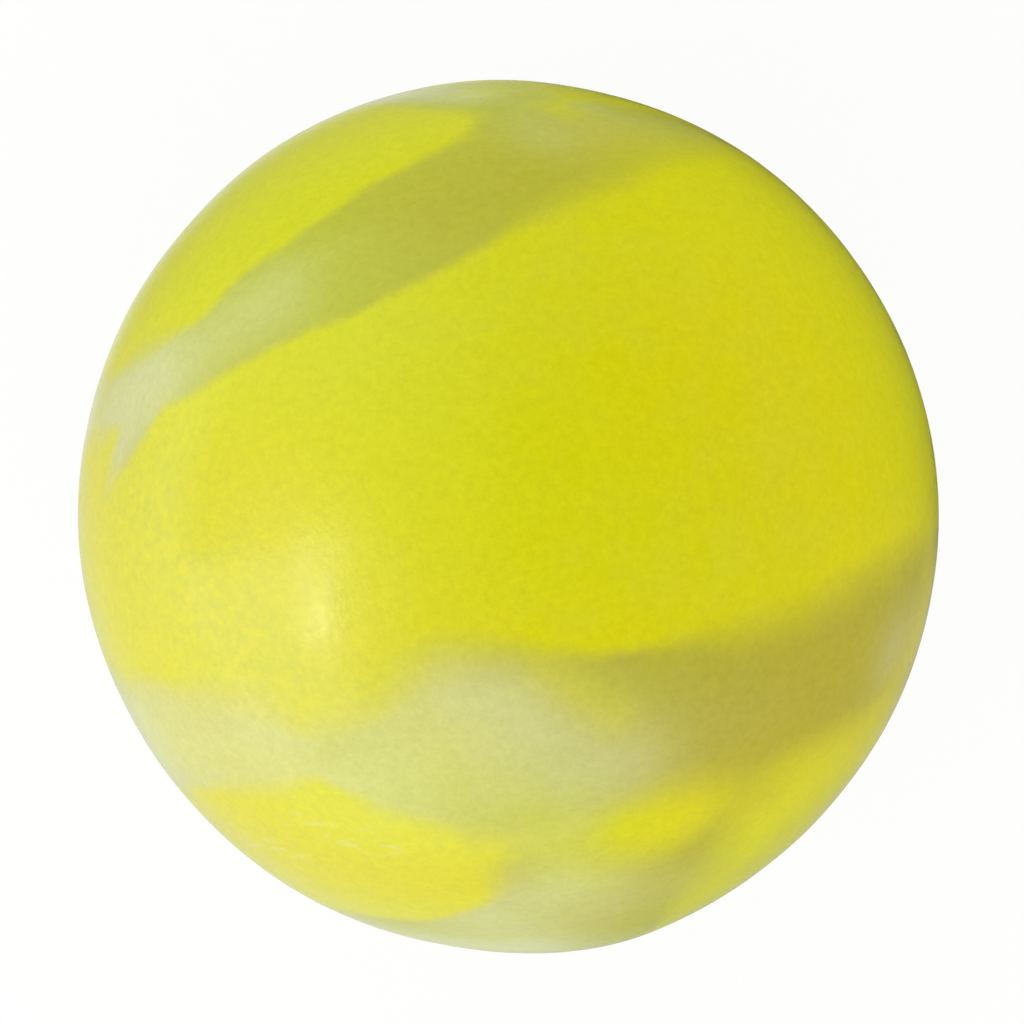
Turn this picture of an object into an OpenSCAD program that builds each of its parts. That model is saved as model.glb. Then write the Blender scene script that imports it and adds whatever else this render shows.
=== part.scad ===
// Marbled bouncy ball: a solid ball pressed from lumps of yellow and pale rubber.
// Sizes in mm, angles in degrees. Origin: the ball's centre.
// X-Y plane: the parting plane, where the two halves of the mould met. +Z: up.

/* [Ball] */
// diameter of the ball from pole to pole
ball_d = 45; // [36:0.5:60]
// how far the trimmed flash still stands proud of the ball along the parting line
flash_h = 0.1; // [0.05:0.05:0.3]
// width of the trimmed flash across the parting line
flash_w = 1.6; // [1.2:0.1:2.4]

/* [Pale swirls] */
// widest width of the swirl across the upper part of the face
upper_w = 8.4; // [6:0.1:10]
// how deep that swirl reaches into the ball
upper_depth = 7; // [4:0.5:9]
// widest width of the swirl across the lower part of the face
lower_w = 13; // [10:0.1:15]
// how deep that swirl reaches into the ball
lower_depth = 8.5; // [6:0.5:10]
// widest width of the swirl that leaves the lower swirl over the near edge
base_w = 12.5; // [9:0.1:14]
// how deep that swirl reaches into the ball
base_depth = 7.5; // [5:0.5:9]
// widest width of the swirl along the far edge
crown_w = 6.4; // [4:0.1:8]
// how deep that swirl reaches into the ball
crown_depth = 4; // [2.5:0.5:6]
// widest width of the swirl across the underside
back_w = 9; // [6:0.1:11]
// how deep that swirl reaches into the ball
back_depth = 7; // [4:0.5:9]

/* [Yellow lumps in the pale rubber] */
// widest width of the lobe at the near left edge
lobe_w = 12.5; // [9:0.1:14]
// how deep the lobe reaches into the ball
lobe_depth = 5; // [3:0.5:6]
// widest width of the small fleck
fleck_w = 4; // [2.5:0.1:5]
// how deep the fleck reaches into the ball
fleck_depth = 2.5; // [1.5:0.1:4]

/* [Hidden] */
$fn = 160;
yellow = [0.84, 0.83, 0.10];
pale = [0.84, 0.86, 0.62];
ball_r = ball_d / 2;
// radius of the round back of the flash, from its width and height
flash_r = (flash_w * flash_w / 4 + flash_h * flash_h) / (2 * flash_h);
// how far the walls of a lump run past the ball's surface before the ball trims them
lip = 0.7;
// how far the cover over a lump lies outside the ball
cover = 2.7;
// rings between two waypoints, and straight pieces round the floor of a ring
steps = 4;
floor_sides = 6;

// Waypoints of each lump along its middle: [azimuth, elevation, share of the widest width].
upper_path = [[186, -36, 0.5], [172, -14, 0.66], [165, 10, 0.66], [158, 30.5, 0.6], [143, 42, 0.62],
              [118, 47.5, 0.88], [101, 43.5, 1], [86, 37, 0.9], [76, 28, 0.8], [67, 16, 0.52], [61, 8, 0.14]];
tail_path = [[160, 33, 0.36], [166, 30, 0.36], [172, 27, 0.22], [178, 24.5, 0.06]];
lower_path = [[202, -36, 0.1], [205, -12, 0.45], [211, 11, 0.56], [219, 30, 0.46], [228, 41, 0.45],
              [239, 49.5, 0.62], [256, 56, 0.97], [280, 56, 1], [301, 51, 1], [317, 46, 0.9],
              [330, 40, 0.68], [340, 29, 0.7], [346, 12, 0.72], [350, -10, 0.6], [356, -30, 0.5]];
base_path = [[296, 58, 0.5], [293, 44, 0.92], [284, 33, 1], [276, 15, 0.96], [270, -8, 0.75], [268, -28, 0.1]];
arm_path = [[288, 26, 0.5], [276, 18, 0.7], [264, 13, 0.7], [253, 2, 0.6], [244, -10, 0.4], [238, -20, 0.1]];
crown_path = [[87, 34, 0.45], [88, 24, 0.55], [95, 15, 1], [103, 8, 0.7], [110, -6, 0.6], [117, -22, 0.1]];
back_path = [[180, -28, 0.4], [187, -44, 0.72], [202, -61, 1], [255, -79, 0.86], [334, -71, 1],
             [350, -50, 0.85], [355, -26, 0.72]];
lobe_path = [[221, 14, 0.12], [230, 21, 0.62], [240, 26, 1], [250, 29, 0.88], [258, 32.5, 0.73],
             [264, 35, 0.54], [267, 36.5, 0.2]];
fleck_path = [[287, 43.3, 0.15], [291, 42, 0.7], [296, 40, 1], [301.5, 39, 0.78], [305, 38.3, 0.15]];

function toward(azimuth, elevation) =
    [cos(elevation) * cos(azimuth), cos(elevation) * sin(azimuth), sin(elevation)];
function unit(v) = v / norm(v);
function heading(v) = unit([v[0], v[1], v[2]]);
function waypoint(row) = concat(toward(row[0], row[1]), [row[2]]);
// a smooth curve from b to c that also heeds the points before and after them
function curve(a, b, c, d, t) =
    0.5 * (2 * b + (c - a) * t + (2 * a - 5 * b + 4 * c - d) * t * t + (3 * b - a - 3 * c + d) * t * t * t);
function between(list, i, t) =
    curve(list[max(i - 1, 0)], list[i], list[i + 1], list[min(i + 2, len(list) - 1)], t);
function spine(list) =
    concat([for (i = [0 : len(list) - 2]) for (k = [0 : steps - 1]) between(list, i, k / steps)],
           [list[len(list) - 1]]);
// a point beside the spine: swing is the angle off the spine, r the distance from the ball's centre
function beside(middle, side, swing, r) = r * (cos(swing) * middle + sin(swing) * side);
// one closed ring: a rounded floor inside the ball, and a cover well outside it
function ring(middle, side, swing, depth) =
    concat([for (k = [0 : floor_sides])
                let (turn = 180 * k / floor_sides)
                beside(middle, side, swing * cos(turn), ball_r + lip - (depth + lip) * sin(turn))],
           [beside(middle, side, -swing / 2, ball_r + cover), beside(middle, side, swing / 2, ball_r + cover)]);

// the space that a lump takes up, not yet trimmed to the ball
module lump(path, width, depth) {
    line = spine([for (row = path) waypoint(row)]);
    last = len(line) - 1;
    sides = floor_sides + 3;
    points = [for (i = [0 : last])
                 let (middle = heading(line[i]),
                      ahead = heading(line[min(i + 1, last)]) - heading(line[max(i - 1, 0)]),
                      side = unit(cross(middle, ahead)),
                      share = line[i][3])
                 each ring(middle, side, width * share / ball_r * 90 / PI, depth * share)];
    walls = [for (i = [0 : last - 1]) for (k = [0 : sides - 1])
                let (a = i * sides + k, b = i * sides + (k + 1) % sides)
                each [[a, b, a + sides], [b, b + sides, a + sides]]];
    start = [for (k = [sides - 1 : -1 : 0]) k];
    end = [for (k = [0 : sides - 1]) last * sides + k];
    polyhedron(points, concat(walls, [start, end]), convexity = 6);
}

// the ball as it leaves the mould, with what the trimming left of the flash
module ball() {
    sphere(d = ball_d);
    rotate_extrude() translate([ball_r + flash_h - flash_r, 0]) circle(r = flash_r);
}

module upper_space() {
    lump(upper_path, upper_w, upper_depth);
    lump(tail_path, upper_w, upper_depth);
}

module lower_space() lump(lower_path, lower_w, lower_depth);

module base_space() {
    lump(base_path, base_w, base_depth);
    lump(arm_path, base_w, base_depth);
}

module crown_space() lump(crown_path, crown_w, crown_depth);

module back_space() lump(back_path, back_w, back_depth);

module lobe_space() lump(lobe_path, lobe_w, lobe_depth);

module fleck_space() lump(fleck_path, fleck_w, fleck_depth);

module yellow_body() color(yellow) difference() {
    ball();
    upper_space();
    lower_space();
    base_space();
    crown_space();
    back_space();
    lobe_space();
    fleck_space();
}

module pale_upper_swirl() color(pale) intersection() {
    ball();
    upper_space();
}

module pale_lower_swirl() color(pale) intersection() {
    ball();
    difference() {
        lower_space();
        lobe_space();
        fleck_space();
    }
}

module pale_base_swirl() color(pale) intersection() {
    ball();
    difference() {
        base_space();
        lower_space();
        lobe_space();
        fleck_space();
    }
}

module pale_crown_swirl() color(pale) intersection() {
    ball();
    difference() {
        crown_space();
        upper_space();
    }
}

module pale_back_swirl() color(pale) intersection() {
    ball();
    difference() {
        back_space();
        upper_space();
        lower_space();
    }
}

module yellow_lobe() color(yellow) intersection() {
    ball();
    lobe_space();
}

module yellow_fleck() color(yellow) intersection() {
    ball();
    fleck_space();
}

yellow_body();
pale_upper_swirl();
pale_lower_swirl();
pale_base_swirl();
pale_crown_swirl();
pale_back_swirl();
yellow_lobe();
yellow_fleck();
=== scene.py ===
"""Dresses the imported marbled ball: pressed rubber lumps with soft marbling, and a white studio stage."""
import math

import bmesh
import bpy
import numpy as np
from bpy.props import FloatProperty, FloatVectorProperty, IntProperty, PointerProperty
from bpy.types import Operator, Panel, PropertyGroup
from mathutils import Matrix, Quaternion, Vector
from mathutils.kdtree import KDTree


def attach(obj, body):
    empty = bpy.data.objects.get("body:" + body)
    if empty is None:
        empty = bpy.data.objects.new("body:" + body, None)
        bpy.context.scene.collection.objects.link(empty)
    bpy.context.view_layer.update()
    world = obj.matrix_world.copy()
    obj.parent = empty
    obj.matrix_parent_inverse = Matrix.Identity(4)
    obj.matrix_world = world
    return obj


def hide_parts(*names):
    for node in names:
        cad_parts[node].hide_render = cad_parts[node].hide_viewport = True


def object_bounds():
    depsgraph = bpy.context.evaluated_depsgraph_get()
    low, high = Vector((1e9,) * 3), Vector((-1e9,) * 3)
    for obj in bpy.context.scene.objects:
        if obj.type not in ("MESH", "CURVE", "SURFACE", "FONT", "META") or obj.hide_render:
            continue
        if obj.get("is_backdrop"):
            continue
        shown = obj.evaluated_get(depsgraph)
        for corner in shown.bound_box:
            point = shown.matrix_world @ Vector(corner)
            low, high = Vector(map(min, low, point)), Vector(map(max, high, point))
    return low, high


bl_info = {
    "name": "Marbled ball",
    "version": (1, 0, 0),
    "blender": (4, 5, 0),
    "location": "View3D > Sidebar > Marbled ball",
    "description": "Presses a marbled rubber ball from the lumps of its frame and sets it on a white stage",
    "category": "Object",
}

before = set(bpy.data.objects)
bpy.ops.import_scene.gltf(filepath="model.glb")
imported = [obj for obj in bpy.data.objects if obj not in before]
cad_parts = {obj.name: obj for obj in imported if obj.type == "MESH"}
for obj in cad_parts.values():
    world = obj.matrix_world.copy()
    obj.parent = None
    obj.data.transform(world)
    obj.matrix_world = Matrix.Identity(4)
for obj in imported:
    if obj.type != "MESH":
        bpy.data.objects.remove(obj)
CAD_LOW, CAD_HIGH = (tuple(corner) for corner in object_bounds())
MM = 0.001
BALL_R = CAD_HIGH[2]
FLASH_H = CAD_HIGH[0] - BALL_R

# The ball while it is pressed and cut, and its copy that stays uncut.
PRESSED = "pressed_ball"
UNCUT = "uncut_ball"

# Pieces in the order in which they are cut out of the pressed ball: piece, CAD node.
YELLOW_LUMPS = (("lobe_rubber", "yellow_lobe"), ("fleck_rubber", "yellow_fleck"))
PALE_SWIRLS = (
    ("upper_swirl_rubber", "pale_upper_swirl"),
    ("lower_swirl_rubber", "pale_lower_swirl"),
    ("base_swirl_rubber", "pale_base_swirl"),
    ("crown_swirl_rubber", "pale_crown_swirl"),
    ("back_swirl_rubber", "pale_back_swirl"),
)
BODY = ("body_rubber", "yellow_body")

# A face beyond this share of the radius that faces out this much is skin, not a wall inside the ball.
SKIN_FROM = 0.97
SKIN_FACING = 0.6
# How many times its size a cutter's skin is drawn out, so that it passes the ball's surface.
DRAWN_OUT = 1.06
# Points of a CAD lump that are closer than this are one point.
SAME_POINT = 0.0002 * MM
# Faces that meet at a larger angle keep a sharp edge between them.
SHARP = math.radians(35)
# An edge whose ends differ less than this in height is level.
LEVEL = 0.01 * MM
# Points closer than this to the parting plane are on the parting line.
ON_PARTING = 0.05 * MM
# Cuts through every edge beside the parting line that isn't level.
PARTING_CUTS = 2
# Where an edge of an outline is marked, as shares of its length.
ALONG_EDGE = (0.25, 0.75)
# Outlines closer than this many bonds lie between two pale lumps, where the colour doesn't change.
SEAM_BONDS = 6

# Where the ball is a little out of round: azimuth, half of the stretch in degrees, lift in mm, reach in mm.
OUT_OF_ROUND = (
    (12, 18, -0.16, 14),
    (108, 12, 0.20, 9),
    (172, 4, -0.07, 8),
    (213, 6, -0.21, 13),
    (262, 3, 0.07, 6),
    (284, 1, 0.46, 10),
    (306, 2, 0.10, 6),
)

# Brush strokes on the ball: start and end as azimuth and elevation, reach in mm, strength.
# Where pale rubber is milky; elsewhere it is nearly clear.
MILKY = (
    # upper swirl and its tail
    ((172, 0), (160, 31), 3.0, 1.0),
    ((160, 31), (138, 45), 2.4, 0.35),
    ((166, 28), (176, 25), 1.6, 0.9),
    ((82, 30), (64, 12), 2.5, 0.2),
    # crown swirl
    ((112, 4), (96, 15), 2.0, 0.9),
    ((88, 22), (86, 32), 1.5, 0.12),
    ((86, 12), (80, 18), 1.8, 0.3),
    # lower swirl
    ((208, 0), (216, 22), 4.5, 1.0),
    ((216, 22), (240, 52), 4.5, 0.8),
    ((206, 25), (216, 46), 3.0, 0.6),
    ((226, 44), (240, 53), 3.0, 0.6),
    ((228, 50), (250, 62), 4.0, 0.5),
    ((240, 54), (282, 54), 4.5, 0.55),
    ((256, 64), (272, 63), 2.4, 0.8),
    ((272, 62), (296, 52), 2.6, 0.3),
    ((300, 54), (320, 48), 3.0, 0.08),
    ((341, 22), (349, 5), 2.2, 0.4),
    ((350, 4), (357, 12), 1.6, 0.25),
    # base swirl and its arm
    ((266, 28), (278, 33), 2.8, 0.6),
    ((288, 30), (298, 20), 2.4, 0.15),
    ((272, 20), (282, 24), 3.0, 0.3),
    ((260, 21), (268, 23), 2.0, 0.25),
    ((248, 0), (272, 9), 3.5, 1.0),
    # underside
    ((186, -40), (202, -61), 3.0, 0.8),
    ((255, -79), (334, -71), 2.6, 0.5),
    ((350, -50), (352, -20), 2.8, 0.7),
)
# Where both rubbers have a warmer tone.
WARM = (
    # yellow body, right and left of the face
    ((30, 50), (335, 30), 12.0, 0.85),
    ((185, 56), (209, 58), 6.5, 0.8),
    ((176, 22), (212, 38), 8.5, 0.85),
    # upper swirl
    ((103, 45), (76, 30), 4.0, 0.35),
    # lower swirl and the yellow above it
    ((250, 75), (310, 68), 5.0, 0.5),
    ((262, 62), (300, 54), 4.0, 0.5),
    ((318, 48), (345, 15), 5.0, 1.0),
    # lobe and base swirl
    ((230, 20), (262, 34), 4.5, 1.0),
    ((284, 22), (303, 38), 4.0, 0.6),
    # underside
    ((60, -15), (20, -50), 11.0, 0.7),
    ((140, -40), (225, -35), 8.0, 0.5),
    ((295, -62), (345, -60), 4.0, 0.8),
)
# Where the two rubbers run into each other over a wide edge.
BLURRED = (
    # upper swirl and its tail
    ((82, 37), (62, 10), 4.5, 0.6),
    ((154, 25), (158, 6), 2.5, 0.6),
    ((169, 14), (172, 20), 1.5, 0.4),
    # crown swirl
    ((101, 14), (86, 30), 2.5, 0.3),
    # lower swirl
    ((203, 14), (215, 36), 2.2, 0.35),
    ((205, 45), (244, 66), 4.0, 0.8),
    ((227, 32), (262, 42), 2.5, 0.3),
    ((334, 52), (351, 26), 3.5, 0.6),
    ((304, 40), (327, 18), 5.0, 0.8),
    # base swirl
    ((276, 48), (304, 40), 5.0, 0.7),
    ((299, 33), (302, 4), 4.0, 0.7),
    # underside
    ((206, -14), (202, -38), 3.0, 0.6),
    ((270, -10), (268, -30), 3.0, 0.6),
    ((247, -6), (238, -22), 3.0, 0.6),
    ((111, -8), (117, -24), 3.0, 0.6),
    ((172, -20), (190, -50), 4.0, 0.4),
    ((255, -79), (340, -68), 4.0, 0.5),
    ((346, -52), (356, -24), 3.5, 0.4),
)
# Where the pale colour spreads past its lump's edge, or, with a minus, stops short of it.
SPREAD = (
    # upper swirl and its tail
    ((156, 42), (126, 56), 1.8, 0.2),
    ((148, 33), (158, 20), 2.2, -0.75),
    ((156, 15), (158, 5), 2.2, -0.9),
    ((170, 15), (174, 3), 1.6, -0.7),
    ((108, 36), (97, 31), 1.8, -0.4),
    ((92, 28), (88, 27), 1.6, 1.0),
    # crown swirl
    ((84, 12), (80, 18), 1.8, 0.6),
    # lower swirl
    ((207, 28), (217, 37), 2.4, 0.6),
    ((211, 40), (215, 46), 2.0, 0.5),
    ((226, 52), (233, 58), 2.6, -0.8),
    ((226, 64), (236, 67), 2.0, -0.4),
    ((298, 68), (308, 68), 2.0, -0.15),
    # around the lobe
    ((237, 42), (243, 44), 1.6, -0.75),
    ((256, 42), (266, 43), 2.2, -1.0),
    ((256, 20), (266, 27), 2.0, 0.5),
    # base swirl
    ((298, 28), (303, 17), 2.0, 0.45),
    # underside
    ((203, -27), (202, -38), 2.0, -0.6),
)
# Yellow washes drawn out into the pale rubber.
WASHES = (
    # upper swirl and its tail
    ((72, 30), (62, 12), 2.5, 0.25),
    ((175, 26), (179, 24), 1.0, 0.5),
    ((157, 4), (164, 14), 2.2, 0.4),
    # crown swirl
    ((98, 5), (84, 8), 1.4, 0.7),
    ((94, 14), (85, 13), 1.5, 0.5),
    ((85, 21), (81, 23), 1.2, 0.35),
    # lower swirl
    ((216, 26), (252, 56), 5.0, 0.35),
    ((283, 70), (298, 60), 1.3, 0.35),
    ((331, 16), (346, 11), 2.4, 0.65),
    ((346, 8), (358, 14), 2.4, 0.65),
    # around the fleck
    ((277, 44), (284, 38), 2.6, 0.35),
    ((291, 42), (301, 39), 1.4, 0.8),
    ((307, 38), (316, 33), 1.6, 0.35),
    # underside
    ((215, -66), (245, -80), 2.0, 0.4),
    ((352, -36), (350, -14), 1.6, 0.3),
)
# Dull dark specks: partly dirt, partly painted shade on the panel-lit left side and lobe.
DIRT_AND_SHADE = (
    ((180, 36), (211, 50), 7.0, 1.0),
    ((226, 16), (262, 35), 5.0, 0.5),
    ((150, 25), (120, 15), 6.0, 0.3),
)
# Where the skin is scuffed by play.
SCUFFED = (
    ((231, 18), (237, 26), 0.8, 0.9),
    ((236, 33), (249, 38), 0.9, 1.0),
)
# What the strokes leave on every point of a piece, for the materials.
LAYERS = (("milk", MILKY), ("warm", WARM), ("wash", WASHES), ("grime", DIRT_AND_SHADE), ("scuff", SCUFFED))

# Tones of the rubbers, by the names of the marbling's sockets.
TONES = ("Lemon", "Golden", "Clear", "Tan", "Milk", "Cream", "Grime")
# Noises in the rubber: size of a grain in metres, detail, roughness.
SWAY = (3.0 * MM, 4, 0.55)
CLOUDS = (2.4 * MM, 3, 0.5)
# Noise of the fine light and dark speckle: painted light and shade of the tumbled grain.
SPECKLE = (0.45 * MM, 4, 0.8)
SPECKS = (0.6 * MM, 5, 0.75)
FINE_GRAIN = (0.3 * MM, 3, 0.6)
SATIN_PATCHES = (2.0 * MM, 2, 0.5)
SCRATCHES = (0.3 * MM, 3, 0.6)
# The value around which a noise swings.
NOISE_MIDDLE = 0.5
# What is made of a noise: where a soft step starts and ends, value before and after it.
CLOUD_STEP = (0.3, 0.7, 0.93, 1.06)
SPECK_STEP = (0.25, 0.75, 0.0, 0.45)
SATIN_STEP = (0.3, 0.7, -0.04, 0.04)
SCRATCH_STEP = (0.5, 0.64, 0.0, 0.6)
# How the scratches are turned and drawn out.
SCRATCH_TURN = math.radians(12)
SCRATCH_SCALE = (0.28, 1, 0.4)

# Soft steps in the room: direction, where the step starts and ends along it, brightness before and after it.
# The light on the ball: it leans to one side, glows on the crown's side and fills in from low at the right.
ROOM_LEAN = (0.2, -0.88, -0.4)
ROOM_GLOW = ((-0.3, 0.95, 0), 0.25, 1.0, 1.0, 3.1)
ROOM_FILL = ((0.93, 0.16, -0.32), 0.4, 1.0, 0.0, 0.95)
# What is reflected in the skin: a room that is dim at the right, and a halo around the strip.
ROOM_DIM = ((1, 0, 0), -0.9, 0.3, 1.0, 0.05)
ROOM_HALO = ((-0.81, -0.29, 0.5), 0.8, 1.0, 0.0, 1.1)

# The floor: its size in metres, its paper, and how much of what the camera sees of it is white by itself.
FLOOR_SIZE = 6
FLOOR_ROUGHNESS = 0.9
FLOOR_PAPER = (0.8, 0.8, 0.8, 1)
FLOOR_SEEN = (0.95, 0.95, 0.95, 1)
FLOOR_WHITE = 0.88
# Soft steps on the floor as it is reflected in the skin: how far it is darkened, and where it glares.
FLOOR_SIDE = (0.77, 0.64, 0)
FLOOR_NEAR = (FLOOR_SIDE, -0.9, -0.2, 0.2, 0.64)
FLOOR_FAR = (FLOOR_SIDE, 0.5, 0.87, 0.0, 0.27)
FLOOR_GLARE = ((-0.94, -0.34, 0), 0.02, 0.16, 0.0, 1.05)
# A bright ring close around the ball: how it fades with the distance, and how strong it is on each side.
RING_FADE = (0.026, 0.039, 0.45, 0.0)
RING_SIDES = (
    (FLOOR_SIDE, 0.4, 0.85, 1.0, 0.0),
    (FLOOR_SIDE, -0.9, -0.4, 0.0, 1.0),
    ((-0.64, 0.77, 0), -0.6, 0.3, 0.35, 1.0),
)

# The soft panel: azimuth of its plane, then in metres its distance, its two ends sideways and its top.
PANEL_AZIMUTH = 165
PANEL_AWAY = 0.30
PANEL_START = 0.131
PANEL_END = 0.64
PANEL_TOP = 0.35
# Lamps that glow through the panel: azimuth, elevation, distance and size in metres, and their common roll.
STRIP = (201.1, 36.0, 0.30, (0.15, 0.05))
BULB = (207.8, 34.8, 0.29, (0.035, 0.025))
LAMP_ROLL = math.radians(-27)
# Nearest distance in metres that the camera shows.
CAMERA_CLIP = 0.01

# Kinds of sockets in the node groups.
COLOUR = "NodeSocketColor"
NUMBER = "NodeSocketFloat"
# Places of both values among the inputs of a Mix node, and of the result among its outputs, by kind.
MIX_SOCKETS = {"FLOAT": (2, 3, 0), "RGBA": (6, 7, 2)}


class BallShape(PropertyGroup):
    """Sizes of the pressed ball"""

    around: IntProperty(name="Faces around", description="Faces around the ball", default=384, min=64)
    rings: IntProperty(
        name="Rings", description="Rings from pole to pole, an even number", default=192, min=32)
    flash_land: FloatProperty(
        name="Flash land", description="Half of the flat top of the trimmed flash", default=0.2 * MM,
        unit="LENGTH")
    flash_flank: FloatProperty(
        name="Flash flank", description="Width of the slope on each side of the flash", default=0.6 * MM,
        unit="LENGTH")
    flash_left: FloatProperty(
        name="Flash left", description="How much of the flash the tumbling left", default=0.5,
        subtype="FACTOR")
    ripple: FloatProperty(
        name="Ripple", description="Height of the soft unevenness of the skin", default=0.03 * MM,
        unit="LENGTH")
    ripple_size: FloatProperty(
        name="Ripple size", description="Size of that unevenness", default=3.2 * MM, unit="LENGTH")
    bond: FloatProperty(
        name="Bond", description="How far a lump reaches into its neighbours' cut", default=0.02 * MM,
        unit="LENGTH")


class BallRubber(PropertyGroup):
    """Colours and finish of the two rubbers"""

    lemon: FloatVectorProperty(
        name="Lemon", description="The bright rubber in its cooler tone", default=(0.60, 0.62, 0.001),
        subtype="COLOR")
    golden: FloatVectorProperty(
        name="Golden", description="The bright rubber in its warmer tone", default=(0.645, 0.585, 0.001),
        subtype="COLOR")
    clear: FloatVectorProperty(
        name="Clear", description="Pale rubber where it is nearly clear", default=(0.45, 0.485, 0.03),
        subtype="COLOR")
    tan: FloatVectorProperty(
        name="Tan", description="Nearly clear rubber in its warmer tone", default=(0.43, 0.37, 0.025),
        subtype="COLOR")
    milk: FloatVectorProperty(
        name="Milk", description="Pale rubber where it is milky", default=(0.59, 0.635, 0.275),
        subtype="COLOR")
    cream: FloatVectorProperty(
        name="Cream", description="Milky rubber in its warmer tone", default=(0.555, 0.545, 0.26),
        subtype="COLOR")
    # Colour of the dark specks: partly dirt, partly painted shade.
    grime: FloatVectorProperty(
        name="Grime", description="Dirt in the skin", default=(0.40, 0.46, 0.04), subtype="COLOR")
    scuff: FloatVectorProperty(
        name="Scuff", description="Whitish scratches", default=(0.63, 0.64, 0.2), subtype="COLOR")
    crisp: FloatProperty(
        name="Crisp edge", description="Half width of a crisp colour edge, in mm", default=0.5)
    blurred: FloatProperty(
        name="Blurred edge", description="Half width of the widest colour edge, in mm", default=3.2)
    spread: FloatProperty(
        name="Spread", description="How far the pale colour can end from its lump's edge, in mm", default=1.6)
    wander: FloatProperty(
        name="Wander", description="How far a colour edge strays from the lump's edge, in mm", default=1.0)
    # Fine speckle painted into the colour: painted light and shade of the tumbled grain.
    mottle: FloatProperty(
        name="Mottle", description="Strength of the fine light and dark speckle", default=0.35)
    roughness: FloatProperty(
        name="Roughness", description="Satin of the skin", default=0.17, subtype="FACTOR")
    specular: FloatProperty(
        name="Specular", description="Strength of the reflections", default=0.4, subtype="FACTOR")
    yellow_grain: FloatProperty(
        name="Yellow grain", description="Depth of the tumbled grain on the yellow rubber",
        default=0.015 * MM, unit="LENGTH")
    pale_grain: FloatProperty(
        name="Pale grain", description="Depth of the tumbled grain on the pale rubber",
        default=0.012 * MM, unit="LENGTH")


class BallStage(PropertyGroup):
    """Camera, floor and lights"""

    camera_height: FloatProperty(
        name="Camera height", description="Camera above the ball's centre", default=0.36, unit="LENGTH")
    lens: FloatProperty(name="Lens", description="Focal length in mm", default=242.7, unit="CAMERA")
    shift: FloatVectorProperty(
        name="Shift", description="Framing of the ball in the picture", default=(0.0028, 0.0033), size=2)
    room: FloatProperty(name="Room light", description="Soft light from all sides", default=0.955)
    panel: FloatProperty(name="Panel", description="Brightness of the soft panel", default=1.37)
    strip: FloatProperty(
        name="Strip", description="Brightness of the strip where the bulb lights the panel", default=1.85)
    bulb: FloatProperty(name="Bulb", description="Brightness of the bulb behind the panel", default=4.2)


def toward(azimuth, elevation):
    """Unit vector to a place on the ball."""
    azimuth, elevation = math.radians(azimuth), math.radians(elevation)
    flat = math.cos(elevation)
    return np.array((flat * math.cos(azimuth), flat * math.sin(azimuth), math.sin(elevation)))


def take(item):
    """Makes one object the only selected and active one, in object mode."""
    if bpy.context.object and bpy.context.object.mode != "OBJECT":
        bpy.ops.object.mode_set(mode="OBJECT")
    bpy.ops.object.select_all(action="DESELECT")
    if item:
        item.select_set(True)
    bpy.context.view_layer.objects.active = item


def pick(item, parts, wanted):
    """Selects, in edit mode, just the verts, edges or faces for which wanted is true."""
    bpy.ops.mesh.select_all(action="DESELECT")
    mesh = bmesh.from_edit_mesh(item.data)
    for part in getattr(mesh, parts):
        if wanted(part):
            part.select_set(True)
    mesh.select_flush_mode()
    bmesh.update_edit_mesh(item.data)


def copy_of(item, name):
    """A copy of an object's mesh as a new object at the origin."""
    twin = bpy.data.objects.new(name, item.data.copy())
    bpy.context.scene.collection.objects.link(twin)
    return twin


def is_skin(centre, normal):
    """True for a face of the ball's outer skin, false for a wall inside the ball."""
    return centre.length > SKIN_FROM * BALL_R and normal.dot(centre.normalized()) > SKIN_FACING


def cut(item, cutter, operation):
    """Applies a Boolean of item with cutter."""
    take(item)
    modifier = item.modifiers.new("cut", "BOOLEAN")
    modifier.operation = operation
    modifier.object = cutter
    modifier.solver = "MANIFOLD"
    bpy.ops.object.modifier_apply(modifier=modifier.name)
    if not item.data.polygons:
        raise RuntimeError(f"{operation} left nothing of {item.name}")


def cutter_from(node, bond):
    """A copy of a CAD lump whose outer skin is drawn out well past the ball."""
    cutter = copy_of(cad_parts[node], "cutter")
    take(cutter)
    bpy.ops.object.mode_set(mode="EDIT")
    bpy.ops.mesh.select_mode(type="FACE")
    bpy.ops.mesh.select_all(action="SELECT")
    bpy.ops.mesh.remove_doubles(threshold=SAME_POINT)
    pick(cutter, "faces", lambda face: is_skin(face.calc_center_median(), face.normal))
    bpy.ops.mesh.extrude_region_move()
    bpy.ops.transform.resize(value=(DRAWN_OUT, DRAWN_OUT, DRAWN_OUT), center_override=(0, 0, 0))
    bpy.ops.mesh.select_all(action="SELECT")
    bpy.ops.transform.shrink_fatten(value=bond)
    bpy.ops.object.mode_set(mode="OBJECT")
    return cutter


def cut_lump(piece_name, node, bond):
    """Cuts one lump out of the pressed ball and lets it stand for its CAD node."""
    ball = bpy.data.objects[PRESSED]
    cutter = cutter_from(node, bond)
    piece = copy_of(ball, piece_name)
    cut(piece, cutter, "INTERSECT")
    cut(ball, cutter, "DIFFERENCE")
    bpy.data.meshes.remove(cutter.data)
    stand_in(piece, node)


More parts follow.
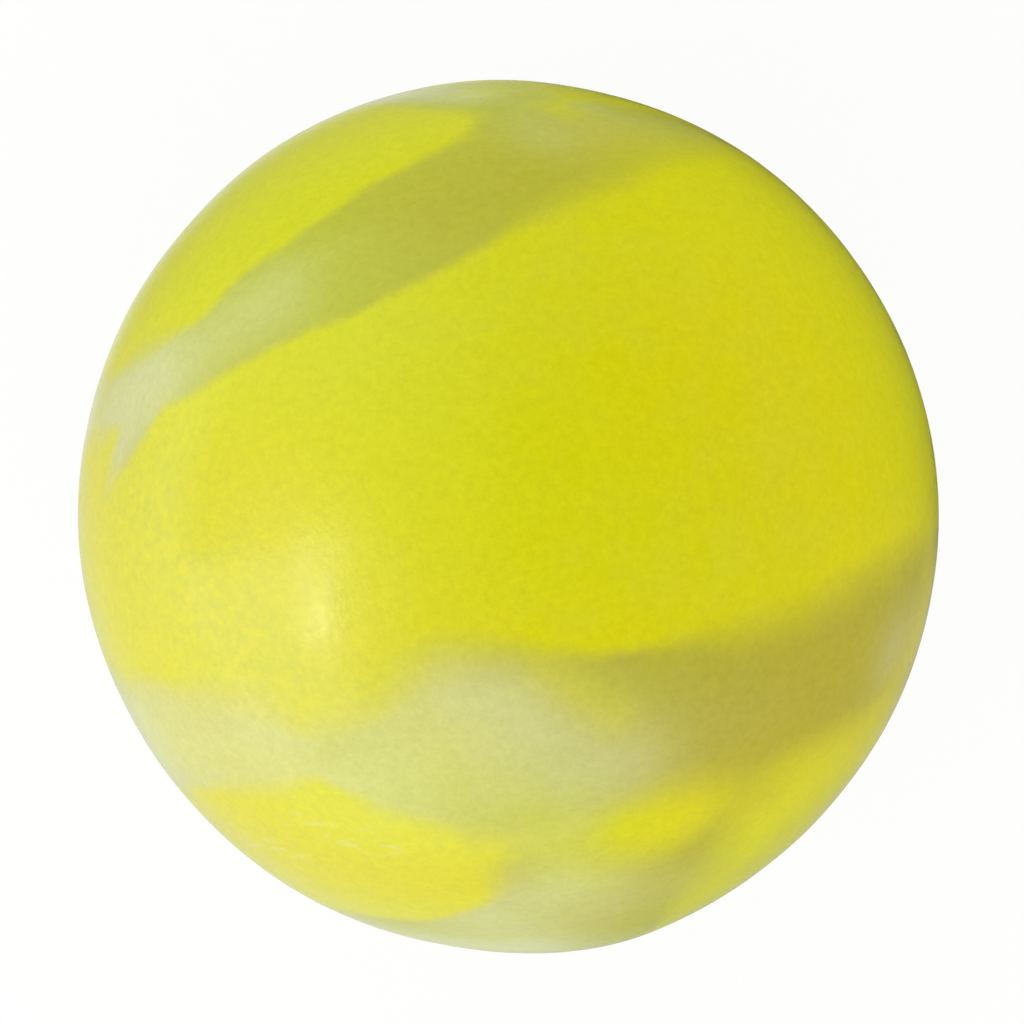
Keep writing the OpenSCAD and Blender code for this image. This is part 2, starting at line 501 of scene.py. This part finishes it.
def smooth_skin(piece):
    """Shades the skin of a lump as on the uncut ball, so that no cut shows."""
    take(piece)
    bpy.ops.object.shade_smooth_by_angle(angle=SHARP)
    skin = piece.vertex_groups.new(name="skin")
    for face in piece.data.polygons:
        if is_skin(face.center, face.normal):
            skin.add(face.vertices, 1, "REPLACE")
    modifier = piece.modifiers.new("skin", "DATA_TRANSFER")
    modifier.object = bpy.data.objects[UNCUT]
    modifier.vertex_group = skin.name
    modifier.use_loop_data = True
    modifier.data_types_loops = {"CUSTOM_NORMAL"}
    modifier.loop_mapping = "POLYINTERP_NEAREST"
    bpy.ops.object.modifier_apply(modifier=modifier.name)
    piece.vertex_groups.clear()


def stand_in(piece, node):
    """Finishes a lump and puts it in the place of its CAD node."""
    smooth_skin(piece)
    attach(piece, "root")
    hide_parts(node)


class BALL_OT_press(Operator):
    """Press the ball: its skin, a little out of round and uneven, and the flash along the parting line"""

    bl_idname = "marbled_ball.press"
    bl_label = "Press the ball"

    def execute(self, context):
        shape = context.scene.ball_shape
        take(None)
        bpy.ops.mesh.primitive_uv_sphere_add(segments=shape.around, ring_count=shape.rings, radius=BALL_R)
        ball = context.object
        ball.name = PRESSED
        bpy.ops.object.mode_set(mode="EDIT")
        self.refine_parting_line(ball, shape)
        self.raise_flash(ball, shape)
        for azimuth, half, lift, reach in OUT_OF_ROUND:
            self.pull_stretch(ball, azimuth, half, lift * MM, reach * MM)
        bpy.ops.object.mode_set(mode="OBJECT")
        self.ripple_skin(ball, shape)
        bpy.ops.object.shade_smooth()
        copy_of(ball, UNCUT)
        return {"FINISHED"}

    def refine_parting_line(self, ball, shape):
        """Splits the faces near the parting line, so that the flash has enough of them."""
        band = 2 * (shape.flash_land + shape.flash_flank)

        def crosses_band(edge):
            """True for an edge near the parting line that isn't level."""
            start, end = (vert.co.z for vert in edge.verts)
            return max(abs(start), abs(end)) < band and abs(start - end) > LEVEL

        bpy.ops.mesh.select_mode(type="EDGE")
        pick(ball, "edges", crosses_band)
        bpy.ops.mesh.subdivide(number_cuts=PARTING_CUTS)

    def raise_flash(self, ball, shape):
        """Draws the parting line out to a low land with a soft flank on each side."""
        bpy.ops.mesh.select_mode(type="VERT")
        pick(ball, "verts", lambda vert: abs(vert.co.z) < shape.flash_land)
        wider = 1 + shape.flash_left * FLASH_H / BALL_R
        bpy.ops.transform.resize(
            value=(wider, wider, 1), center_override=(0, 0, 0), use_proportional_edit=True,
            proportional_edit_falloff="SMOOTH", proportional_size=shape.flash_flank)

    def pull_stretch(self, ball, azimuth, half, lift, reach):
        """Pulls one stretch of the parting line, and the skin within reach, out or in."""
        out = Vector(toward(azimuth, 0))
        close = math.cos(math.radians(half))

        def in_stretch(vert):
            """True for a point of the parting line within the stretch."""
            return abs(vert.co.z) < ON_PARTING and vert.co.normalized().dot(out) > close

        pick(ball, "verts", in_stretch)
        bpy.ops.transform.translate(
            value=out * lift, use_proportional_edit=True, proportional_edit_falloff="SMOOTH",
            proportional_size=reach)

    def ripple_skin(self, ball, shape):
        """Gives the skin the slight unevenness of tumbled rubber."""
        clouds = bpy.data.textures.new("tumbled_skin", "CLOUDS")
        clouds.noise_scale = shape.ripple_size
        take(ball)
        modifier = ball.modifiers.new("ripple", "DISPLACE")
        modifier.texture = clouds
        modifier.strength = shape.ripple
        bpy.ops.object.modifier_apply(modifier=modifier.name)


class BALL_OT_yellow_lumps(Operator):
    """Cut out the yellow lobe and the yellow fleck that lie in the pale rubber"""

    bl_idname = "marbled_ball.yellow_lumps"
    bl_label = "Yellow lumps"

    def execute(self, context):
        for piece, node in YELLOW_LUMPS:
            cut_lump(piece, node, 0)
        return {"FINISHED"}


class BALL_OT_pale_swirls(Operator):
    """Cut out the pale swirls"""

    bl_idname = "marbled_ball.pale_swirls"
    bl_label = "Pale swirls"

    def execute(self, context):
        for piece, node in PALE_SWIRLS:
            cut_lump(piece, node, context.scene.ball_shape.bond)
        return {"FINISHED"}


class BALL_OT_body(Operator):
    """Keep what is left of the pressed ball as the yellow body"""

    bl_idname = "marbled_ball.body"
    bl_label = "Yellow body"

    def execute(self, context):
        piece_name, node = BODY
        body = bpy.data.objects[PRESSED]
        body.name = piece_name
        stand_in(body, node)
        bpy.data.meshes.remove(bpy.data.objects[UNCUT].data)
        return {"FINISHED"}


def points_of(piece):
    """All the points of a piece, in metres."""
    flat = np.empty(3 * len(piece.data.vertices))
    piece.data.vertices.foreach_get("co", flat)
    return flat.reshape(-1, 3)


def rim_points(piece):
    """Points along the edges where a lump's skin meets its walls."""
    mesh = bmesh.new()
    mesh.from_mesh(piece.data)
    skin = {face: is_skin(face.calc_center_median(), face.normal) for face in mesh.faces}
    found = []
    for edge in mesh.edges:
        if len({skin[face] for face in edge.link_faces}) == 2:
            start, end = (vert.co for vert in edge.verts)
            found += [start.lerp(end, share) for share in ALONG_EDGE]
    mesh.free()
    return found


def tree_of(points):
    """A search tree over points."""
    tree = KDTree(len(points))
    for index, point in enumerate(points):
        tree.insert(point, index)
    tree.balance()
    return tree


def colour_outline(swirls, gap):
    """Points along the outlines where pale rubber meets yellow, without those between two pale lumps."""
    rims = {piece.name: rim_points(piece) for piece in swirls}
    trees = {name: tree_of(points) for name, points in rims.items()}
    outline = []
    for name, points in rims.items():
        others = [tree for other, tree in trees.items() if other != name]
        outline += [p for p in points if all(tree.find(p)[2] > gap for tree in others)]
    return tree_of(outline)


def painted(points, strokes):
    """How strongly brush strokes mark each point: 0 bare, 1 full, and under 0 for strokes with a minus."""
    outward = points / np.linalg.norm(points, axis=1)[:, None]
    bare = np.ones(len(points))
    for start, end, reach, strength in strokes:
        a, b = toward(*start), toward(*end)
        share = np.clip((outward - a) @ (b - a) / ((b - a) @ (b - a)), 0, 1)
        nearest = a + share[:, None] * (b - a)
        nearest /= np.linalg.norm(nearest, axis=1)[:, None]
        away = np.linalg.norm(outward - nearest, axis=1) * BALL_R / MM
        bare *= 1 - strength * np.exp(-(away / reach) ** 2)
    return 1 - bare


def mark(piece, name, values):
    """Stores one value per point of a piece, for its material."""
    layer = piece.data.attributes.new(name, "FLOAT", "POINT")
    layer.data.foreach_set("value", np.asarray(values, dtype=np.float32))


def add(tree, kind, place, **settings):
    """A new shader node at a place in its tree."""
    node = tree.nodes.new(kind)
    node.location = place
    for name, value in settings.items():
        setattr(node, name, value)
    return node


def feed(tree, value, socket):
    """Links a socket, or sets a plain value."""
    if isinstance(value, bpy.types.NodeSocket):
        tree.links.new(value, socket)
    else:
        socket.default_value = value


def attribute(tree, name, place):
    """The output of a piece's stored values."""
    return add(tree, "ShaderNodeAttribute", place, attribute_name=name).outputs["Fac"]


def maths(tree, operation, place, *inputs):
    """A Math node; each input is a socket or a number."""
    node = add(tree, "ShaderNodeMath", place, operation=operation)
    for socket, value in zip(node.inputs, inputs):
        feed(tree, value, socket)
    return node.outputs[0]


def blend(tree, place, factor, first, second, kind="RGBA"):
    """A Mix node between two colours, or two numbers if its kind is FLOAT."""
    node = add(tree, "ShaderNodeMix", place, data_type=kind, clamp_factor=False)
    first_place, second_place, result_place = MIX_SOCKETS[kind]
    feed(tree, factor, node.inputs["Factor"])
    feed(tree, first, node.inputs[first_place])
    feed(tree, second, node.inputs[second_place])
    return node.outputs[result_place]


def noise(tree, vector, place, size, detail, rough):
    """A Noise texture whose grains are about size metres across."""
    node = add(tree, "ShaderNodeTexNoise", place)
    tree.links.new(vector, node.inputs["Vector"])
    node.inputs["Scale"].default_value = 1 / size
    node.inputs["Detail"].default_value = detail
    node.inputs["Roughness"].default_value = rough
    return node.outputs[0]


def along(tree, vector, place, direction):
    """How far a vector reaches along a direction."""
    node = add(tree, "ShaderNodeVectorMath", place, operation="DOT_PRODUCT")
    tree.links.new(vector, node.inputs[0])
    node.inputs[1].default_value = direction
    return node.outputs["Value"]


def ramp(tree, value, place, low, high, to_low=0.0, to_high=1.0):
    """A smooth step from low to high."""
    node = add(tree, "ShaderNodeMapRange", place, interpolation_type="SMOOTHSTEP")
    for socket, number in zip(node.inputs, (value, low, high, to_low, to_high)):
        feed(tree, number, socket)
    return node.outputs[0]


def step_along(tree, vector, place, direction, *step):
    """A smooth step along a direction."""
    reach = along(tree, vector, (place[0] - 200, place[1]), direction)
    return ramp(tree, reach, place, *step)


def new_group(name, inputs, outputs):
    """A shader node group with named sockets: (name, kind) pairs."""
    group = bpy.data.node_groups.new(name, "ShaderNodeTree")
    for label, kind in inputs:
        group.interface.new_socket(label, in_out="INPUT", socket_type=kind)
    for label, kind in outputs:
        group.interface.new_socket(label, in_out="OUTPUT", socket_type=kind)
    return group, add(group, "NodeGroupInput", (-1400, 0)), add(group, "NodeGroupOutput", (900, 0))


def pale_share(tree, place, wander):
    """How pale a point is: soft edges that stray from the lumps' edges, and yellow washes across them."""
    sway = noise(tree, place, (-1000, -650), *SWAY)
    sway = maths(tree, "SUBTRACT", (-800, -200), sway, NOISE_MIDDLE)
    stray = maths(tree, "MULTIPLY", (-600, -200), sway, wander)
    edge = maths(tree, "ADD", (-400, -100), attribute(tree, "edge_mm", (-800, 0)), stray)
    soft = attribute(tree, "soft_mm", (-800, 200))
    pale = ramp(tree, edge, (-200, 0), maths(tree, "MULTIPLY", (-400, 200), soft, -1.0), soft)
    bare = maths(tree, "SUBTRACT", (-200, 200), 1.0, attribute(tree, "wash", (-400, 400)))
    return maths(tree, "MULTIPLY", (0, 100), pale, bare)


def marbling_group():
    """Yellow running into clear and milky rubber over soft, straying edges."""
    inputs = (*((tone, COLOUR) for tone in TONES), ("Wander", NUMBER), ("Mottle", NUMBER))
    tree, given, result = new_group("Marbling", inputs, (("Color", COLOUR),))
    lemon, golden, clear, tan, milk, cream, grime = (given.outputs[tone] for tone in TONES)
    place = add(tree, "ShaderNodeTexCoord", (-1400, -400)).outputs["Object"]
    pale = pale_share(tree, place, given.outputs["Wander"])
    clouds = ramp(tree, noise(tree, place, (-1000, -400), *CLOUDS), (-600, -400), *CLOUD_STEP)
    milky = maths(tree, "MULTIPLY", (-200, -400), attribute(tree, "milk", (-400, -500)), clouds)
    milky = maths(tree, "MINIMUM", (0, -400), milky, 1.0)
    warm = attribute(tree, "warm", (-600, -750))
    yellow = blend(tree, (0, 300), warm, lemon, golden)
    thin = blend(tree, (0, -100), warm, clear, tan)
    thick = blend(tree, (0, -600), warm, milk, cream)
    swirl = blend(tree, (300, -200), milky, thin, thick)
    marbled = blend(tree, (500, 0), pale, yellow, swirl)
    # Dark specks where the strokes lie: partly dirt, partly painted shade on the panel-lit side.
    specks = ramp(tree, noise(tree, place, (-200, -1200), *SPECKS), (0, -1200), *SPECK_STEP)
    dirt_and_shade_share = maths(tree, "MULTIPLY", (200, -1200), specks, attribute(tree, "grime", (0, -1400)))
    dirt_and_shade_specked = blend(tree, (600, 0), dirt_and_shade_share, marbled, grime)
    # Fine light and dark speckle: painted light and shade of the tumbled grain.
    speckle = noise(tree, place, (-200, -900), *SPECKLE)
    speckle = maths(tree, "SUBTRACT", (0, -900), speckle, NOISE_MIDDLE)
    speckle = maths(tree, "MULTIPLY_ADD", (200, -900), speckle, given.outputs["Mottle"], 1.0)
    grain_shaded = add(tree, "ShaderNodeVectorMath", (700, 0), operation="SCALE")
    tree.links.new(dirt_and_shade_specked, grain_shaded.inputs["Vector"])
    tree.links.new(speckle, grain_shaded.inputs["Scale"])
    tree.links.new(grain_shaded.outputs["Vector"], result.inputs["Color"])
    return tree


def grain_group():
    """Fine tumbled grain of the skin, and the patchy satin that goes with it."""
    tree, given, result = new_group(
        "Tumbled grain", (("Roughness", NUMBER),), (("Height", NUMBER), ("Roughness", NUMBER)))
    place = add(tree, "ShaderNodeTexCoord", (-1200, 0)).outputs["Object"]
    fine = noise(tree, place, (-900, 100), *FINE_GRAIN)
    patches = ramp(tree, noise(tree, place, (-900, -200), *SATIN_PATCHES), (-500, -200), *SATIN_STEP)
    satin = maths(tree, "ADD", (0, -200), given.outputs["Roughness"], patches)
    tree.links.new(fine, result.inputs["Height"])
    tree.links.new(satin, result.inputs["Roughness"])
    return tree


def scuff_group():
    """Short whitish scratches where the skin was scuffed."""
    tree, _, result = new_group("Scuffs", (), (("Scratch", NUMBER),))
    place = add(tree, "ShaderNodeTexCoord", (-1400, 0)).outputs["Object"]
    drawn = add(tree, "ShaderNodeMapping", (-1200, 0))
    drawn.inputs["Rotation"].default_value = (0, 0, SCRATCH_TURN)
    drawn.inputs["Scale"].default_value = SCRATCH_SCALE
    tree.links.new(place, drawn.inputs["Vector"])
    lines = ramp(tree, noise(tree, drawn.outputs[0], (-900, 0), *SCRATCHES), (-500, 0), *SCRATCH_STEP)
    scratch = maths(tree, "MULTIPLY", (0, 0), lines, attribute(tree, "scuff", (-300, -200)))
    tree.links.new(scratch, result.inputs["Scratch"])
    return tree


def rubber_material(name, rubber, groups, grain_depth):
    """Satin marbled rubber; both rubbers share the marbling, so that they run into each other."""
    material = bpy.data.materials.new(name)
    material.use_nodes = True
    tree = material.node_tree
    shader = tree.nodes["Principled BSDF"]
    marbling, grain, scuffs = (
        add(tree, "ShaderNodeGroup", (-900, 300 - 350 * index), node_tree=group)
        for index, group in enumerate(groups))
    for tone in TONES:
        marbling.inputs[tone].default_value = (*getattr(rubber, tone.lower()), 1)
    marbling.inputs["Wander"].default_value = rubber.wander
    marbling.inputs["Mottle"].default_value = rubber.mottle
    grain.inputs["Roughness"].default_value = rubber.roughness
    scuff = (*rubber.scuff, 1)
    colour = blend(tree, (-400, 300), scuffs.outputs["Scratch"], marbling.outputs["Color"], scuff)
    bump = add(tree, "ShaderNodeBump", (-400, -300))
    bump.inputs["Distance"].default_value = grain_depth
    tree.links.new(grain.outputs["Height"], bump.inputs["Height"])
    tree.links.new(colour, shader.inputs["Base Color"])
    tree.links.new(grain.outputs["Roughness"], shader.inputs["Roughness"])
    tree.links.new(bump.outputs["Normal"], shader.inputs["Normal"])
    shader.inputs["Specular IOR Level"].default_value = rubber.specular
    return material


class BALL_OT_rubber(Operator):
    """Give every lump its rubber: colours that run into each other, grain and scuffs"""

    bl_idname = "marbled_ball.rubber"
    bl_label = "Rubber"

    def execute(self, context):
        shape, rubber = context.scene.ball_shape, context.scene.ball_rubber
        swirls = [bpy.data.objects[piece] for piece, node in PALE_SWIRLS]
        yellows = [bpy.data.objects[piece] for piece, node in (*YELLOW_LUMPS, BODY)]
        outline = colour_outline(swirls, SEAM_BONDS * shape.bond)
        groups = (marbling_group(), grain_group(), scuff_group())
        pale_rubber = rubber_material("pale_rubber", rubber, groups, rubber.pale_grain)
        yellow_rubber = rubber_material("yellow_rubber", rubber, groups, rubber.yellow_grain)
        for pieces, side, material in ((swirls, 1, pale_rubber), (yellows, -1, yellow_rubber)):
            for piece in pieces:
                self.mark_marbling(piece, outline, side, rubber)
                piece.data.materials.clear()
                piece.data.materials.append(material)
        return {"FINISHED"}

    def mark_marbling(self, piece, outline, side, rubber):
        """Stores how far each point is from the colour outline, and what the strokes paint there."""
        points = points_of(piece)
        edge = np.array([side * outline.find(point)[2] / MM for point in points])
        mark(piece, "edge_mm", edge + rubber.spread * painted(points, SPREAD))
        softer = rubber.blurred - rubber.crisp
        mark(piece, "soft_mm", rubber.crisp + softer * painted(points, BLURRED))
        for name, strokes in LAYERS:
            mark(piece, name, painted(points, strokes))


def floor_shade(tree, way):
    """How far the floor is darkened in reflections, by the side of the ball."""
    near = step_along(tree, way, (-500, -300), *FLOOR_NEAR)
    far = step_along(tree, way, (-500, -600), *FLOOR_FAR)
    return maths(tree, "ADD", (-300, -300), near, far)


def floor_glare(tree, place, way):
    """How bright the floor glares in reflections: toward the panel, and in a ring around the ball."""
    wide = step_along(tree, place, (-500, -900), *FLOOR_GLARE)
    away = add(tree, "ShaderNodeVectorMath", (-700, -1200), operation="LENGTH")
    tree.links.new(place, away.inputs[0])
    ring = ramp(tree, away.outputs["Value"], (-500, -1200), *RING_FADE)
    for index, side in enumerate(RING_SIDES):
        low = -1500 - 300 * index
        ring = maths(tree, "MULTIPLY", (-300, low), ring, step_along(tree, way, (-500, low), *side))
    return maths(tree, "ADD", (-100, -900), wide, ring)


def floor_material():
    """White paper that keeps the ball's shadow; in reflections it is darkened and glares by side."""
    material = bpy.data.materials.new("white_floor")
    material.use_nodes = True
    tree = material.node_tree
    path = add(tree, "ShaderNodeLightPath", (-900, 300))
    seen, mirrored = path.outputs["Is Camera Ray"], path.outputs["Is Glossy Ray"]
    place = add(tree, "ShaderNodeTexCoord", (-1100, -300)).outputs["Object"]
    way = add(tree, "ShaderNodeVectorMath", (-900, -300), operation="NORMALIZE")
    tree.links.new(place, way.inputs[0])
    paper = tree.nodes["Principled BSDF"]
    paper.inputs["Roughness"].default_value = FLOOR_ROUGHNESS
    paper.inputs["Specular IOR Level"].default_value = 0
    tree.links.new(blend(tree, (-300, 300), seen, FLOOR_PAPER, FLOOR_SEEN), paper.inputs["Base Color"])
    white = add(tree, "ShaderNodeEmission", (0, -300))
    tree.links.new(seen, white.inputs["Strength"])
    lit = maths(tree, "MULTIPLY", (0, 500), seen, FLOOR_WHITE)
    dark = maths(tree, "MULTIPLY", (0, 700), mirrored, floor_shade(tree, way.outputs[0]))
    mixed = add(tree, "ShaderNodeMixShader", (300, -200))
    tree.links.new(maths(tree, "ADD", (150, 500), lit, dark), mixed.inputs["Fac"])
    tree.links.new(paper.outputs[0], mixed.inputs[1])
    tree.links.new(white.outputs[0], mixed.inputs[2])
    bright = maths(tree, "MULTIPLY", (0, -600), mirrored, floor_glare(tree, place, way.outputs[0]))
    glare = add(tree, "ShaderNodeEmission", (300, -500))
    tree.links.new(bright, glare.inputs["Strength"])
    both = add(tree, "ShaderNodeAddShader", (500, -300))
    tree.links.new(mixed.outputs[0], both.inputs[0])
    tree.links.new(glare.outputs[0], both.inputs[1])
    tree.links.new(both.outputs[0], tree.nodes["Material Output"].inputs["Surface"])
    return material


class BALL_OT_stage(Operator):
    """Set the ball on a white floor under a soft panel, seen from straight above"""

    bl_idname = "marbled_ball.stage"
    bl_label = "Stage"

    def execute(self, context):
        stage = context.scene.ball_stage
        self.lay_floor(-BALL_R - context.scene.ball_shape.ripple)
        self.light_room(context.scene, stage)
        self.hang_lamps(stage)
        self.place_camera(context.scene, stage)
        context.scene.view_settings.view_transform = "Standard"
        return {"FINISHED"}

    def lay_floor(self, height):
        """A wide white floor that keeps the ball's shadow."""
        take(None)
        bpy.ops.mesh.primitive_plane_add(size=FLOOR_SIZE, location=(0, 0, height))
        floor = bpy.context.object
        floor.name = "white_floor"
        floor.data.materials.append(floor_material())
        floor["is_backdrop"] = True

    def light_room(self, scene, stage):
        """Soft light from all sides; reflections see a dimmer room, and the camera a white one."""
        world = bpy.data.worlds.new("studio")
        world.use_nodes = True
        tree = world.node_tree
        room = tree.nodes["Background"]
        way = add(tree, "ShaderNodeTexCoord", (-1000, 0)).outputs["Generated"]
        lean = along(tree, way, (-800, 150), ROOM_LEAN)
        glow = step_along(tree, way, (-600, 450), *ROOM_GLOW)
        fill = step_along(tree, way, (-600, 600), *ROOM_FILL)
        sky = maths(tree, "ADD", (-600, 150), lean, glow)
        sky = maths(tree, "ADD", (-500, 150), sky, fill)
        sky = maths(tree, "MULTIPLY", (-400, 150), sky, stage.room)
        dim = step_along(tree, way, (-600, 0), *ROOM_DIM)
        halo = step_along(tree, way, (-600, -200), *ROOM_HALO)
        dim = maths(tree, "ADD", (-450, -100), dim, halo)
        path = add(tree, "ShaderNodeLightPath", (-800, 300))
        unseen = blend(tree, (-300, 0), path.outputs["Is Glossy Ray"], sky, dim, "FLOAT")
        strength = blend(tree, (-100, 0), path.outputs["Is Camera Ray"], unseen, 1, "FLOAT")
        tree.links.new(strength, room.inputs["Strength"])
        room.inputs["Color"].default_value = (1, 1, 1, 1)
        scene.world = world

    def hang_lamps(self, stage):
        """A tall soft panel at the near left, and the strip and the bulb that glow through it."""
        out = toward(PANEL_AZIMUTH, 0)
        sideways = np.array((-out[1], out[0], 0))
        up = np.array((0, 0, 1))
        middle = PANEL_AWAY * out + sideways * (PANEL_START + PANEL_END) / 2 + up * (PANEL_TOP - BALL_R) / 2
        self.add_lamp("soft_panel", middle, -out, (PANEL_END - PANEL_START, PANEL_TOP + BALL_R), stage.panel)
        for name, lamp, brightness in (("strip", STRIP, stage.strip), ("bulb", BULB, stage.bulb)):
            azimuth, elevation, away, size = lamp
            place = away * toward(azimuth, elevation)
            self.add_lamp(name, place, -place, size, brightness, LAMP_ROLL)

    def add_lamp(self, name, place, facing, size, brightness, roll=0):
        """A rectangular lamp whose surface has a given brightness, where 1 is white."""
        take(None)
        turn = Vector(facing).to_track_quat("-Z", "Y") @ Quaternion((0, 0, 1), roll)
        bpy.ops.object.light_add(type="AREA", location=place, rotation=turn.to_euler())
        lamp = bpy.context.object
        lamp.name = name
        lamp.data.shape = "RECTANGLE"
        lamp.data.size, lamp.data.size_y = size
        lamp.data.energy = brightness * math.pi * size[0] * size[1]

    def place_camera(self, scene, stage):
        """A camera that looks straight down, with the top of the picture along +Y."""
        take(None)
        bpy.ops.object.camera_add(location=(0, 0, stage.camera_height), rotation=(0, 0, 0))
        camera = bpy.context.object
        camera.data.lens = stage.lens
        camera.data.shift_x, camera.data.shift_y = stage.shift
        camera.data.clip_start = CAMERA_CLIP
        scene.camera = camera


class BALL_PT_sidebar(Panel):
    """Sizes, finishes and steps of the marbled ball"""

    bl_idname = "BALL_PT_sidebar"
    bl_label = "Marbled ball"
    bl_space_type = "VIEW_3D"
    bl_region_type = "UI"
    bl_category = "Marbled ball"

    def draw(self, context):
        for settings in (context.scene.ball_shape, context.scene.ball_rubber, context.scene.ball_stage):
            box = self.layout.box()
            for name in settings.__annotations__:
                box.prop(settings, name)
        for operator in OPERATORS:
            self.layout.operator(operator.bl_idname)


OPERATORS = (
    BALL_OT_press, BALL_OT_yellow_lumps, BALL_OT_pale_swirls, BALL_OT_body, BALL_OT_rubber, BALL_OT_stage)
CLASSES = (BallShape, BallRubber, BallStage, *OPERATORS, BALL_PT_sidebar)


def register():
    for item in CLASSES:
        bpy.utils.register_class(item)
    bpy.types.Scene.ball_shape = PointerProperty(type=BallShape)
    bpy.types.Scene.ball_rubber = PointerProperty(type=BallRubber)
    bpy.types.Scene.ball_stage = PointerProperty(type=BallStage)


def unregister():
    del bpy.types.Scene.ball_stage
    del bpy.types.Scene.ball_rubber
    del bpy.types.Scene.ball_shape
    for item in reversed(CLASSES):
        bpy.utils.unregister_class(item)


def main():
    register()
    bpy.ops.marbled_ball.press()
    bpy.ops.marbled_ball.yellow_lumps()
    bpy.ops.marbled_ball.pale_swirls()
    bpy.ops.marbled_ball.body()
    bpy.ops.marbled_ball.rubber()
    bpy.ops.marbled_ball.stage()


if __name__ == "__main__":
    main()
